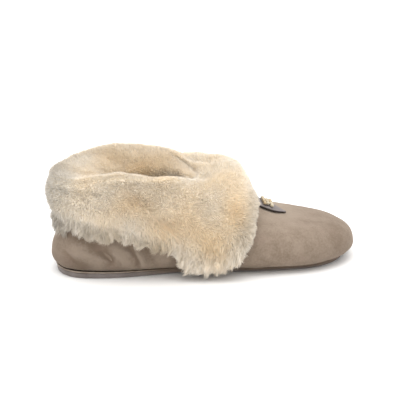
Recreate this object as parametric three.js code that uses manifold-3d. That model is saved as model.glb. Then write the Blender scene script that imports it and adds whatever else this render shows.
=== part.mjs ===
// A sheepskin slipper for the right foot: a suede upper on a thin soft sole, with a shearling cuff
// turned down over it and a pointed vamp tab that carries a cluster of beads.
// Millimetres. +X runs from heel to toe, +Y to the inner side of the foot, +Z up, floor at z = 0.
import * as THREE from "three";
import { mergeVertices } from "three/addons/utils/BufferGeometryUtils.js";
import Module from "manifold-3d";

const wasm = await Module();
wasm.setup();

// Driving dimensions
const heelSeat = 36; // from the back of the heel to the origin, below the middle of the heel
const wall = 2.4; // sheepskin of the upper, without its wool
const gap = 0.3; // between pieces that meet
const randHeight = 1.4;
const randDepth = 3.6;
const randProud = 0.7; // how far the rand stands out past the sole
const heelProud = 0.5; // how far the sole stands out past the upper's edge at the heel
const toeTuck = 1.2; // how far it lies inside that edge at the forefoot
const tuckShare = 0.4; // share of the foot's length where that tuck is full
const soleBevel = 1.2;
const archInner = 1.8; // lift of the sole's waist on the inner side
const archOuter = 0.7;
const archStart = 76;
const archEnd = 150;
const insoleThickness = 5;
const insoleCrown = 1.5;
const collarLean = 4; // how much lower the collar is on the outer side than at its middle
const rollHeight = 8; // wool above the collar's edge
const cuffInside = 24; // how far the cuff's wool reaches down inside
const mouth = { heel: 44, front: 118, halfWidth: 20 }; // oval that the wool leaves open at the collar
const hangRoom = 0.7; // between the upper and a cuff that hangs clear of it
const tabThickness = 1.6;
const tabSeat = 0.5; // of the tab over the vamp's curve, to clear the upper's facets
const tabBack = 168;
const tabTaper = 185; // where the tab starts to narrow
const tabTip = 200;
const tabHalfWidth = 10.5;
const tabSkew = -4; // how far the tab's tip lies off the ridge
const beadRadius = 1.7;
const beadCentre = 182.7;
const beadSpread = { along: 5.4, across: 7.2 }; // half sizes of the oval that the beads fill

// Facets
const columns = 44; // around the foot
const upperRows = 13; // from the sole's edge to the collar
const lockSides = 6;

// Rings of the last seen from the side, from the sole's edge up to the collar.
const sideRings = [
  { xHeel: 5.0, zHeel: 6.8, zWaist: 5.4, zBall: 4.0, xToe: 254.0, zToe: 5.8 },
  { xHeel: 1.6, zHeel: 10.2, zWaist: 8.8, zBall: 6.6, xToe: 259.4, zToe: 8.6 },
  { xHeel: 0.0, zHeel: 15.4, zWaist: 13.8, zBall: 11.6, xToe: 261.6, zToe: 13.4 },
  { xHeel: 0.7, zHeel: 21.6, zWaist: 20.4, zBall: 18.2, xToe: 261.0, zToe: 19.2 },
  { xHeel: 2.7, zHeel: 28.2, zWaist: 27.2, zBall: 25.2, xToe: 257.2, zToe: 25.0 },
  { xHeel: 5.5, zHeel: 34.8, zWaist: 34.0, zBall: 31.2, xToe: 250.0, zToe: 29.8 },
  { xHeel: 7.5, zHeel: 42.0, zWaist: 40.6, zBall: 36.0, xToe: 239.0, zToe: 33.4 },
  { xHeel: 8.8, zHeel: 49.8, zWaist: 47.2, zBall: 40.8, xToe: 222.5, zToe: 36.2 },
  { xHeel: 9.4, zHeel: 57.4, zWaist: 54.2, zBall: 46.4, xToe: 204.0, zToe: 40.0 },
  { xHeel: 9.6, zHeel: 64.2, zWaist: 62.0, zBall: 53.8, xToe: 184.0, zToe: 47.0 },
  { xHeel: 9.5, zHeel: 70.4, zWaist: 71.0, zBall: 63.6, xToe: 165.0, zToe: 56.6 },
  { xHeel: 9.0, zHeel: 76.0, zWaist: 80.4, zBall: 74.2, xToe: 146.5, zToe: 66.6 },
  { xHeel: 8.4, zHeel: 81.2, zWaist: 89.8, zBall: 85.0, xToe: 129.0, zToe: 74.6 },
];
const widestRing = 2;

// The same rings seen from above: end radii at heel and toe, and half widths in between.
const planRings = [
  { rHeel: 32, heel: 29.4, waist: 26.0, ball: 34.0, rToe: 34 },
  { rHeel: 35, heel: 32.6, waist: 31.0, ball: 41.0, rToe: 40 },
  { rHeel: 36, heel: 34.0, waist: 34.2, ball: 45.0, rToe: 43 },
  { rHeel: 36, heel: 34.2, waist: 35.4, ball: 46.2, rToe: 43 },
  { rHeel: 35, heel: 33.6, waist: 35.8, ball: 45.0, rToe: 41 },
  { rHeel: 33, heel: 32.4, waist: 35.6, ball: 42.6, rToe: 38 },
  { rHeel: 31, heel: 30.8, waist: 35.0, ball: 39.4, rToe: 34 },
  { rHeel: 29, heel: 29.4, waist: 34.2, ball: 36.2, rToe: 30 },
  { rHeel: 27, heel: 28.4, waist: 33.6, ball: 33.8, rToe: 27 },
  { rHeel: 26, heel: 27.8, waist: 33.2, ball: 32.2, rToe: 25 },
  { rHeel: 25, heel: 27.4, waist: 33.0, ball: 31.4, rToe: 23 },
  { rHeel: 24, heel: 27.2, waist: 33.0, ball: 31.0, rToe: 21 },
  { rHeel: 23, heel: 27.2, waist: 33.2, ball: 31.0, rToe: 20 },
];
const stations = { heel: 0.14, waist: 0.43, ball: 0.7 }; // shares of a ring's length

// Sideways course of the foot's axis along its length: out at the waist, in at the toe.
const footAxis = [
  { share: 0, y: 0 },
  { share: 0.43, y: -3 },
  { share: 0.7, y: 0 },
  { share: 1, y: 7 },
];

// Height of the sole's underside along the foot, without the arch: flat heel, flat forefoot, toe spring.
const soleFloor = [
  { x: 0, z: 0.5 },
  { x: 12, z: 0 },
  { x: 214, z: 0 },
  { x: 254, z: 1.8 },
];

// Lower and front edge of the cuff's skin, seen from the side, from the heel round the lapel to the vamp.
const cuffEdge = [
  { x: -20, z: 37 },
  { x: 14, z: 36.5 },
  { x: 42, z: 36 },
  { x: 62, z: 32 },
  { x: 82, z: 29 },
  { x: 96, z: 26.5 },
  { x: 103, z: 18 },
  { x: 113, z: 14.5 },
  { x: 131, z: 14.5 },
  { x: 143, z: 18 },
  { x: 152, z: 22 },
  { x: 160, z: 31 },
  { x: 165, z: 40 },
  { x: 168, z: 48 },
  { x: 169, z: 70 },
];

// Depth of the wool on the cuff's outside along the foot: at the fold, halfway down and at the lower edge.
const woolDepth = [
  { share: 0, fold: 9, middle: 12.5, edge: 6 },
  { share: 0.15, fold: 9.5, middle: 15, edge: 9 },
  { share: 0.3, fold: 10, middle: 17, edge: 14 },
  { share: 0.6, fold: 12, middle: 20, edge: 17 },
  { share: 1, fold: 16, middle: 21, edge: 14 },
];

// Rows of locks on the cuff: fall is their place from the fold (0) to the lower edge (1), bed their place
// in the depth of the wool, flatness their thickness against their width, and front what is left of their
// length at the vamp.
const lockRows = [
  { count: 46, fall: 0.98, bed: 0.42, length: 15, radius: 5.4, flatness: 0.8, front: 0.3 },
  { count: 40, fall: 0.9, bed: 0.84, length: 18, radius: 6, flatness: 0.6, front: 0.4 },
];
const lockSections = [
  { along: 0, width: 0.6 },
  { along: 0.5, width: 1 },
  { along: 1, width: 0.14 },
];
const lockScatter = { angle: 0.4, fall: 0.05, lean: 0.45 };
const lockSweep = 0.3; // lean of the locks towards the heel
const lockSag = 0.12; // drop of a lock's tip, as a share of its length
const lockRooted = 0.5; // share of a lock above its place in the row
const lumpDepth = 0.07; // share of the wool's depth
const woolRise = 0.35; // the fall by which the wool is full
const woolFade = 0.6; // the fall from which it thins towards the edge

// Where the cuff's section is sampled: down its outside, and round the roll from inside to outside.
const cuffFalls = [0.1, 0.26, 0.44, 0.62, 0.8, 0.94];
const rollTurns = [0.95, 0.75, 0.5, 0.25, 0.05];
const insideStops = [
  { share: 0.8, down: 0.9 },
  { share: 1, down: 0.4 },
]; // share of the way to the mouth, and of the reach down inside
const edgeDepths = [0.72, 0.3];

// Small tools

// A smooth curve without overshoot through the points (xs, ys).
function smoothCurve(xs, ys) {
  const last = xs.length - 1;
  const rise = xs.slice(1).map((x, i) => (ys[i + 1] - ys[i]) / (x - xs[i]));
  const slope = ys.map((_, i) => {
    if (i === 0) return rise[0];
    if (i === last) return rise[last - 1];
    const [before, after] = [rise[i - 1], rise[i]];
    return before * after <= 0 ? 0 : (2 * before * after) / (before + after);
  });
  return (x) => {
    const at = Math.min(Math.max(x, xs[0]), xs[last]);
    let i = 0;
    while (i < last - 1 && at > xs[i + 1]) i += 1;
    const width = xs[i + 1] - xs[i];
    const u = (at - xs[i]) / width;
    const v = 1 - u;
    return (
      v * v * (1 + 2 * u) * ys[i] +
      u * u * (1 + 2 * v) * ys[i + 1] +
      u * v * width * (v * slope[i] - u * slope[i + 1])
    );
  };
}

const curveOf = (table, from, to) =>
  smoothCurve(
    table.map((row) => row[from]),
    table.map((row) => row[to]),
  );
const axisY = curveOf(footAxis, "share", "y");
const floorZ = curveOf(soleFloor, "x", "z");
const woolAtFold = curveOf(woolDepth, "share", "fold");
const woolAtMiddle = curveOf(woolDepth, "share", "middle");
const woolAtEdge = curveOf(woolDepth, "share", "edge");
const mix = (a, b, u) => a + (b - a) * u;
const shareOf = (angle) => (1 - Math.cos(angle)) / 2;
const angleOf = (column, count) => (2 * Math.PI * column) / count;
const loopOf = (count, pointAt) => Array.from({ length: count }, (_, c) => pointAt(angleOf(c, count)));

function smoothStep(u) {
  const held = Math.min(Math.max(u, 0), 1);
  return held * held * (3 - 2 * held);
}

// A repeatable scatter between -1 and 1.
function scatter(index, salt) {
  const wave = Math.sin(index * 12.9898 + salt * 78.233) * 43758.5453;
  return 2 * (wave - Math.floor(wave)) - 1;
}

// A closed solid lofted upwards through loops of points that run anticlockwise. A ring of loops closes on
// itself; otherwise strips across the first and last loop cap it.
function loft(loops, isRing = false) {
  const n = loops[0].length;
  const triangles = [];
  const triangle = (a, b, c) => {
    if (a !== b && b !== c && c !== a) triangles.push(a, b, c);
  };
  const quad = (a, b, c, d) => {
    triangle(a, b, c);
    triangle(a, c, d);
  };
  const bands = isRing ? loops.length : loops.length - 1;
  for (let r = 0; r < bands; r += 1) {
    const next = ((r + 1) % loops.length) * n;
    for (let c = 0; c < n; c += 1) {
      const d = (c + 1) % n;
      quad(r * n + c, r * n + d, next + d, next + c);
    }
  }
  const top = (loops.length - 1) * n;
  for (let c = 0; c < n / 2 && !isRing; c += 1) {
    const strip = [c, c + 1, n - c - 1, (n - c) % n];
    quad(...strip.map((k) => top + k));
    quad(...strip.reverse());
  }
  const points = loops.flat().flatMap((point) => point.toArray());
  const geometry = new THREE.BufferGeometry();
  geometry.setAttribute("position", new THREE.Float32BufferAttribute(points, 3));
  geometry.setIndex(triangles);
  return geometry;
}

function solidOf(geometry) {
  const merged = mergeVertices(geometry, 1e-4);
  const mesh = new wasm.Mesh({
    numProp: 3,
    vertProperties: merged.attributes.position.array,
    triVerts: new Uint32Array(merged.index.array),
  });
  return new wasm.Manifold(mesh);
}

function geometryOf(solid) {
  const mesh = solid.getMesh();
  const geometry = new THREE.BufferGeometry();
  geometry.setAttribute("position", new THREE.BufferAttribute(mesh.vertProperties, mesh.numProp));
  geometry.setIndex(new THREE.BufferAttribute(mesh.triVerts, 1));
  return geometry;
}

// Surface of the last

const ringLevels = sideRings.map((_, i) => i / (sideRings.length - 1));
const widestLevel = ringLevels[widestRing];
const ringCurves = [sideRings, planRings].flatMap((table) =>
  Object.keys(table[0]).map((column) => [column, smoothCurve(ringLevels, table.map((row) => row[column]))]),
);

// One ring of the last. Its half width at a share of its length is spread times sin(angle).
const ringCache = new Map();
function ringAt(level) {
  if (ringCache.has(level)) return ringCache.get(level);
  const ring = Object.fromEntries(ringCurves.map(([column, curve]) => [column, curve(level)]));
  const half = (ring.xToe - ring.xHeel) / 2;
  const sineAt = (share) => 2 * Math.sqrt(share * (1 - share));
  ring.height = smoothCurve(
    [0, stations.waist, stations.ball, 1],
    [ring.zHeel, ring.zWaist, ring.zBall, ring.zToe],
  );
  ring.spread = smoothCurve(
    [0, stations.heel, stations.waist, stations.ball, 1],
    [
      Math.sqrt(ring.rHeel * half),
      ring.heel / sineAt(stations.heel),
      ring.waist / sineAt(stations.waist),
      ring.ball / sineAt(stations.ball),
      Math.sqrt(ring.rToe * half),
    ],
  );
  ringCache.set(level, ring);
  return ring;
}

// A point of the upper's outside. The angle runs from the heel (0) round the outer side to the toe (pi)
// and back along the inner side; level runs from the sole's edge (0) to the collar (1).
function lastPoint(angle, level) {
  const ring = ringAt(level);
  const share = shareOf(angle);
  return new THREE.Vector3(
    mix(ring.xHeel, ring.xToe, share),
    axisY(share) * (1 - level * level) - Math.sin(angle) * ring.spread(share),
    ring.height(share) - collarLean * Math.sin(angle) * level * level,
  );
}

// Unit directions up the upper's side and out of it.
function lastFrame(angle, level) {
  const step = 1e-3;
  const [low, high] = [Math.max(level - step, 0), Math.min(level + step, 1)];
  const up = lastPoint(angle, high).sub(lastPoint(angle, low)).normalize();
  const round = lastPoint(angle + step, level).sub(lastPoint(angle - step, level));
  return { up, out: round.cross(up).normalize() };
}

const lastOffset = (angle, level, distance) =>
  lastPoint(angle, level).addScaledVector(lastFrame(angle, level).out, distance);

// The upper's hollow wall, open at the collar and underneath, grown on every face by some distance, and by
// twice that at its two edges, which twist.
function upperForm(grow) {
  const levels = Array.from({ length: upperRows + 1 }, (_, r) => r / upperRows);
  const wallLoop = (level, distance) =>
    loopOf(columns, (angle) => {
      const endGrow = level === 1 ? 2 * grow : level === 0 ? -2 * grow : 0;
      return lastOffset(angle, level, distance).addScaledVector(lastFrame(angle, level).up, endGrow);
    });
  const outside = levels.map((level) => wallLoop(level, grow));
  const inside = levels.map((level) => wallLoop(level, -wall - grow)).reverse();
  return loft([...outside, ...inside], true);
}

// Bottom: outsole, rand and insole, all from the plan of the upper's lower edge

function edgePoint(angle, outward, down) {
  const step = 1e-3;
  const round = lastPoint(angle + step, 0).sub(lastPoint(angle - step, 0));
  const out = new THREE.Vector3(round.y, -round.x, 0).normalize();
  return lastPoint(angle, 0).addScaledVector(out, outward).add(new THREE.Vector3(0, 0, -down));
}

const edgeLoop = (outwardAt, down) => loopOf(columns, (angle) => edgePoint(angle, outwardAt(angle), down));

function archLift(point) {
  const along = (point.x - archStart) / (archEnd - archStart);
  if (along <= 0 || along >= 1) return 0;
  const across = smoothStep(0.5 + point.y / (2 * planRings[0].waist));
  return mix(archOuter, archInner, across) * Math.sin(Math.PI * along) ** 2;
}

// The sole stands proud at the heel and tucks under the upper at the forefoot.
const soleProud = (angle) => mix(heelProud, -toeTuck, smoothStep(shareOf(angle) / tuckShare));

function outsole() {
  const underside = (inset, lift) =>
    loopOf(columns, (angle) => {
      const point = edgePoint(angle, soleProud(angle) - inset, 0);
      return point.setZ(floorZ(point.x) + archLift(point) + lift);
    });
  return loft([
    underside(soleBevel, 0),
    underside(0, soleBevel),
    edgeLoop(soleProud, randHeight + 2 * gap),
  ]);
}

function rand() {
  const [top, bottom] = [gap, gap + randHeight];
  const proud = (angle) => soleProud(angle) + randProud;
  const shoulder = (angle) => proud(angle) - randHeight / 3;
  const inner = () => -randDepth;
  return loft(
    [
      edgeLoop(inner, bottom),
      edgeLoop(shoulder, bottom),
      edgeLoop(proud, (top + bottom) / 2),
      edgeLoop(shoulder, top),
      edgeLoop(inner, top),
    ],
    true,
  );
}

function insole() {
  const inset = randDepth + gap;
  const bottom = randHeight + gap;
  const top = bottom - insoleThickness;
  return loft([
    edgeLoop(() => -inset, bottom),
    edgeLoop(() => -inset, top + insoleCrown),
    edgeLoop(() => -inset - insoleCrown, top),
  ]);
}

// Cuff: a ring of wool folded over the collar, cut by the upper's own wall

// Whether a point, seen from the side, lies under the cuff.
const cuffTop = 200;
const cuffArea = [...cuffEdge, { x: cuffEdge.at(-1).x, z: cuffTop }, { x: cuffEdge[0].x, z: cuffTop }];
function underCuff(point) {
  let isInside = false;
  cuffArea.forEach((a, i) => {
    const b = cuffArea[(i + 1) % cuffArea.length];
    if (a.z > point.z === b.z > point.z) return;
    const crossing = a.x + ((b.x - a.x) * (point.z - a.z)) / (b.z - a.z);
    if (point.x < crossing) isInside = !isInside;
  });
  return isInside;
}

// The cuff's skin lies on the upper's side, and hangs straight down from its widest ring.
function hangFrame(angle, level) {
  const { up, out } = lastFrame(angle, Math.max(level, widestLevel));
  const point = lastPoint(angle, level);
  if (level >= widestLevel) return { point, up, out };
  const { x, y } = lastPoint(angle, widestLevel);
  return { point: point.setX(x).setY(y), up: new THREE.Vector3(0, 0, 1), out: out.setZ(0).normalize() };
}

function edgeLevel(angle) {
  const step = 1 / 400;
  let level = 1;
  while (level > step && underCuff(hangFrame(angle, level).point)) level -= step;
  return level;
}

function cuffPoint(angle, level, distance) {
  const { point, out } = hangFrame(angle, level);
  return point.addScaledVector(out, distance);
}

// Depth of wool from the fold (fall 0) to the lower edge (fall 1), in soft lumps.
function woolThickness(angle, fall) {
  const share = shareOf(angle);
  const swelling = mix(woolAtFold(share), woolAtMiddle(share), smoothStep(fall / woolRise));
  const broad = Math.sin(7 * angle + 5 * fall) * Math.sin(4 * angle - 9 * fall);
  const narrow = Math.sin(13 * angle - 14 * fall);
  const smooth = mix(swelling, woolAtEdge(share), smoothStep((fall - woolFade) / (1 - woolFade)));
  return smooth + lumpDepth * swelling * (broad + narrow / 2);
}

function cuffLoop(angle) {
  const low = edgeLevel(angle);
  const levelAt = (fall) => mix(1, low, fall);
  const { up, out } = lastFrame(angle, 1);
  const fromCollar = (outward, upward) =>
    lastPoint(angle, 1).addScaledVector(out, outward).addScaledVector(up, upward);
  // up the middle of the wall, or clear of it where the cuff hangs below the widest ring
  const skin = cuffFalls.toReversed().map((fall) => {
    const level = levelAt(fall);
    return cuffPoint(angle, level, level < widestLevel ? hangRoom : -wall / 2);
  });
  const towardsMouth = (share, upward) => {
    const x = mix(mouth.heel, mouth.front, shareOf(angle));
    const y = -Math.sin(angle) * mouth.halfWidth;
    const edge = fromCollar(-share * wall, 0);
    return edge.lerp(new THREE.Vector3(x, y, edge.z), share).addScaledVector(up, upward);
  };
  const inside = insideStops.map(({ share, down }) => towardsMouth(share, -down * cuffInside));
  const roll = rollTurns.map((turn) => {
    const [across, rise] = [Math.cos(Math.PI * turn), Math.sin(Math.PI * turn) * rollHeight];
    return turn > 0.5 ? towardsMouth(-across, rise) : fromCollar(across * woolThickness(angle, 0), rise);
  });
  const outside = cuffFalls.map((fall) => cuffPoint(angle, levelAt(fall), woolThickness(angle, fall)));
  const depth = woolThickness(angle, 1);
  const edge = edgeDepths.map((share) => cuffPoint(angle, low, share * depth));
  return [...skin, fromCollar(-wall - gap, -cuffInside), ...inside, ...roll, ...outside, ...edge];
}

// A lock of wool: a flat, tapering tuft that bends down towards its tip.
function lock(root, direction, out, { length, radius, flatness }) {
  const side = out.clone().cross(direction).normalize();
  const front = direction.clone().cross(side);
  return loft(
    lockSections.map(({ along, width }) =>
      loopOf(lockSides, (turn) =>
        root
          .clone()
          .addScaledVector(direction, along * length)
          .addScaledVector(side, Math.cos(turn) * radius * width)
          .addScaledVector(front, Math.sin(turn) * radius * width * flatness)
          .add(new THREE.Vector3(0, 0, -lockSag * length * along * along)),
      ),
    ),
  );
}

// Rows of locks lying down the cuff's outside.
function cuffLocks() {
  return lockRows.flatMap((row, rowIndex) =>
    Array.from({ length: row.count }, (_, i) => {
      const salt = 3 * rowIndex + 1;
      const angle = angleOf(i + lockScatter.angle * scatter(i, salt), row.count);
      const place = row.fall + lockScatter.fall * scatter(i, salt + 1);
      const { point, up, out } = hangFrame(angle, mix(1, edgeLevel(angle), place));
      const direction = up
        .clone()
        .negate()
        .addScaledVector(up.clone().cross(out), lockScatter.lean * scatter(i, salt + 2))
        .add(new THREE.Vector3(-lockSweep, 0, 0))
        .normalize();
      const length = row.length * mix(1, row.front, smoothStep((shareOf(angle) - 0.5) / 0.2));
      const depth = row.bed * woolThickness(angle, place);
      const root = point.addScaledVector(out, depth).addScaledVector(direction, -lockRooted * length);
      return lock(root, direction, out, { ...row, length });
    }),
  );
}

function largestBody(solid) {
  return solid.decompose().reduce((a, b) => (a.volume() > b.volume() ? a : b));
}

function cuff() {
  const ring = solidOf(loft(loopOf(columns, cuffLoop), true));
  const fleece = cuffLocks().reduce((sum, geometry) => sum.add(solidOf(geometry)), ring);
  const cut = fleece.subtract(solidOf(upperForm(gap))).subtract(solidOf(tabForm(gap)));
  return geometryOf(largestBody(cut));
}

// Vamp tab and its beads

// Angle and level of the upper's outside at a place on the vamp, seen from above.
function vampPlace(x, y) {
  let [angle, level] = [Math.PI, 0];
  for (let pass = 0; pass < 12; pass += 1) {
    let [low, high] = [widestLevel, 1];
    for (let halving = 0; halving < 30; halving += 1) {
      level = (low + high) / 2;
      if (lastPoint(angle, level).x > x) low = level;
      else high = level;
    }
    const middle = axisY(shareOf(angle)) * (1 - level * level);
    angle = Math.PI - Math.asin((middle - y) / ringAt(level).spread(shareOf(angle)));
  }
  return { angle, level };
}

function vampPoint(x, y, height) {
  const { angle, level } = vampPlace(x, y);
  return lastOffset(angle, level, height);
}

function tabForm(grow) {
  const straightStops = [0.35, 0.7].map((share) => mix(tabBack, tabTaper, share));
  const taperStops = [0, 0.3, 0.6, 0.85].map((share) => mix(tabTaper, tabTip, share));
  const stops = [tabBack - grow, ...straightStops, ...taperStops, tabTip + grow];
  const [bottom, top] = [tabSeat - grow, tabSeat + tabThickness + grow];
  const middle = (bottom + top) / 2;
  const across = [-0.92, -0.5, 0, 0.5, 0.92];
  return loft(
    stops.map((x) => {
      const narrowing = Math.max(x - tabTaper, 0) / (tabTip - tabTaper);
      const half = tabHalfWidth * Math.max(1 - narrowing ** 1.3, 0.06) + grow;
      const skew = tabSkew * narrowing;
      const at = (share, height) => vampPoint(x, half * share + skew, height);
      return [
        at(1, middle),
        ...across.toReversed().map((share) => at(share, top)),
        at(-1, middle),
        ...across.map((share) => at(share, bottom)),
      ];
    }),
  );
}

// Places of the beads: a close-packed lattice inside an oval.
function beadPlaces() {
  const pitch = 2 * beadRadius + gap;
  const rowPitch = (pitch * Math.sqrt(3)) / 2;
  const places = [];
  for (let row = -3; row <= 3; row += 1) {
    for (let step = -4; step <= 4; step += 1) {
      const along = row * rowPitch;
      const across = (step + (row % 2 ? 0.5 : 0)) * pitch;
      if (Math.hypot(along / beadSpread.along, across / beadSpread.across) > 1) continue;
      places.push({ x: beadCentre + along, y: across });
    }
  }
  return places;
}

// Assembly

const suede = new THREE.MeshStandardMaterial({ color: 0xa8988a, roughness: 0.95, metalness: 0 });
const wool = new THREE.MeshStandardMaterial({ color: 0xe0cfb4, roughness: 1, metalness: 0 });
const soleSuede = new THREE.MeshStandardMaterial({ color: 0x6f6259, roughness: 0.95, metalness: 0 });
const paleEdge = new THREE.MeshStandardMaterial({ color: 0xc9b5a0, roughness: 0.9, metalness: 0 });
const leather = new THREE.MeshStandardMaterial({ color: 0x8b7f7b, roughness: 0.6, metalness: 0 });
const pearl = new THREE.MeshStandardMaterial({ color: 0xe6d3ac, roughness: 0.2, metalness: 0.3 });

const slipper = new THREE.Group();
slipper.position.x = -heelSeat;

function addPiece(name, geometry, material) {
  const mesh = new THREE.Mesh(geometry, material.clone());
  mesh.name = name;
  slipper.add(mesh);
  return mesh;
}

addPiece("outsole", outsole(), soleSuede);
addPiece("rand", rand(), paleEdge);
addPiece("insole", insole(), wool);
addPiece("upper", upperForm(0), suede);
addPiece("cuff", cuff(), wool);
addPiece("vamp_tab", tabForm(0), leather);
beadPlaces().forEach(({ x, y }, i) => {
  const bead = addPiece(`bead_${i + 1}`, new THREE.SphereGeometry(beadRadius, 7, 5), pearl);
  bead.position.copy(vampPoint(x, y, tabSeat + tabThickness + gap + beadRadius));
});

export default slipper;
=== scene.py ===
import bpy
import numpy as np
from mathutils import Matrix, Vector


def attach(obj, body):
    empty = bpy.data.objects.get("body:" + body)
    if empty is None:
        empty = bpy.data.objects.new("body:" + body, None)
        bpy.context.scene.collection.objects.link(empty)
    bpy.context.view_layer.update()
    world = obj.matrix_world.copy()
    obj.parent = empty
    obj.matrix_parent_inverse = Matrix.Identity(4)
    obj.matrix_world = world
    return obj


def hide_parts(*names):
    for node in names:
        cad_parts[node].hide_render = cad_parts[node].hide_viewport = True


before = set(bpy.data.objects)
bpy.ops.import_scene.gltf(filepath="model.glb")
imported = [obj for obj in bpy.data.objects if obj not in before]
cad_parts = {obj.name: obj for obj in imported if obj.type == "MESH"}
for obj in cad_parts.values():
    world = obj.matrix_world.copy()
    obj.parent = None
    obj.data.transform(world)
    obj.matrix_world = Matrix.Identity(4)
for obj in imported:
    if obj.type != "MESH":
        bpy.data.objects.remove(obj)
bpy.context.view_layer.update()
print("frame loaded:", len(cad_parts), "solids")

# A right-foot sheepskin slipper. Shapes are worked out in millimetres from the back of the heel:
# x to the toe, y to the inner side of the foot, z up from the floor.
heelSeat = np.array([36.0, 0.0, 0.0])  # the frame's origin in those sizes


# small tools on arrays

def unit(v):
    # a vector over its own length
    return v / np.maximum(np.linalg.norm(v, axis=-1, keepdims=True), 1e-9)


def mixed(a, b, u):
    # a at u = 0, b at u = 1, straight in between
    return a + (b - a) * u


def smoothStep(u):
    # 3u2 - 2u3, held at 0 and 1
    u = np.clip(u, 0, 1)
    return u * u * (3 - 2 * u)


def bell(d):
    # e to the minus d squared
    return np.exp(-d * d)


def rampUp(v, start, width):
    # 0 at the start, 1 a width further on, smooth in between
    return smoothStep((v - start) / width)


def rampDown(v, end, width):
    # 1 until a width before the end, 0 at the end, smooth in between
    return smoothStep((end - v) / width)


def hump(v, centre, width):
    # a bell about a centre
    return bell((v - centre) / width)


def signedPower(v, power):
    # a power of the size, with the sign kept
    return np.sign(v) * np.abs(v) ** power


def ripple(points, size, seed, waves=14):
    # sum of sine waves of one length in random directions: soft lumps of about that size, about -1 to 1
    rng = np.random.default_rng(seed)
    heading = unit(rng.normal(size=(waves, 3))) * (2 * np.pi / size)
    phase = rng.uniform(0, 2 * np.pi, waves)
    return np.sin(points @ heading.T + phase).sum(-1) / np.sqrt(2 * waves)


def lumpsOn(points, lumps):
    # sum of ripples, each with its size, height and seed
    return sum(height * ripple(points, size, seed) for size, height, seed in lumps)


def smoothCurve(xs, ys, at):
    # cubic spans through (xs, ys) without overshoot: the slope at a stop is the harmonic mean of the
    # rises on both sides, or nothing where they differ in sign. ys may hold one column for each place
    xs = np.asarray(xs, float)
    ys = np.asarray(ys, float)
    at = np.clip(at, xs[0], xs[-1])
    ys = np.broadcast_to(ys.reshape(len(xs), -1), (len(xs), at.size))
    rise = np.diff(ys, axis=0) / np.diff(xs)[:, None]
    before, after = rise[:-1], rise[1:]
    agree = before * after > 0
    inner = np.where(agree, 2 * before * after / np.where(agree, before + after, 1), 0)
    slope = np.concatenate([rise[:1], inner, rise[-1:]])
    span = np.clip(np.searchsorted(xs, at) - 1, 0, len(xs) - 2)
    pick = lambda table, i: np.take_along_axis(table, i[None], 0)[0]
    width = xs[span + 1] - xs[span]
    u = (at - xs[span]) / width
    v = 1 - u
    ends = v * v * (1 + 2 * u) * pick(ys, span) + u * u * (1 + 2 * v) * pick(ys, span + 1)
    return ends + u * v * width * (v * pick(slope, span) - u * pick(slope, span + 1))


# the last: rings from the sole's edge up to the collar

last = {
    "wall": 2.4,
    "collarLean": 4.0,  # how much lower the collar is on the outer side
    "widest": 2 / 12,  # level of the widest ring
    # xHeel, zHeel, zWaist, zBall, xToe, zToe
    "side": [
        [5.0, 6.8, 5.4, 4.0, 254.0, 5.8],
        [1.6, 10.2, 8.8, 6.6, 259.4, 8.6],
        [0.0, 15.4, 13.8, 11.6, 261.6, 13.4],
        [0.7, 21.6, 20.4, 18.2, 261.0, 19.2],
        [2.7, 28.2, 27.2, 25.2, 257.2, 25.0],
        [5.5, 34.8, 34.0, 31.2, 250.0, 29.8],
        [7.5, 42.0, 40.6, 36.0, 239.0, 33.4],
        [8.8, 49.8, 47.2, 40.8, 222.5, 36.2],
        [9.4, 57.4, 54.2, 46.4, 204.0, 40.0],
        [9.6, 64.2, 62.0, 53.8, 184.0, 47.0],
        [9.5, 70.4, 71.0, 63.6, 165.0, 56.6],
        [9.0, 76.0, 80.4, 74.2, 146.5, 66.6],
        [8.4, 81.2, 89.8, 85.0, 129.0, 74.6],
    ],
    # radius at the heel, half widths at heel, waist and ball, radius at the toe
    "plan": [
        [32, 29.4, 26.0, 34.0, 34],
        [35, 32.6, 31.0, 41.0, 40],
        [36, 34.0, 34.2, 45.0, 43],
        [36, 34.2, 35.4, 46.2, 43],
        [35, 33.6, 35.8, 45.0, 41],
        [33, 32.4, 35.6, 42.6, 38],
        [31, 30.8, 35.0, 39.4, 34],
        [29, 29.4, 34.2, 36.2, 30],
        [27, 28.4, 33.6, 33.8, 27],
        [26, 27.8, 33.2, 32.2, 25],
        [25, 27.4, 33.0, 31.4, 23],
        [24, 27.2, 33.0, 31.0, 21],
        [23, 27.2, 33.2, 31.0, 20],
    ],
    "stations": [0, 0.14, 0.43, 0.7, 1],  # heel end, heel, waist, ball, toe end
    "axis": [[0, 0.43, 0.7, 1], [0, -3, 0, 7]],  # sideways course of the foot
}


def shareOf(angle):
    # how far along the foot an angle lies
    return (1 - np.cos(angle)) / 2


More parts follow.
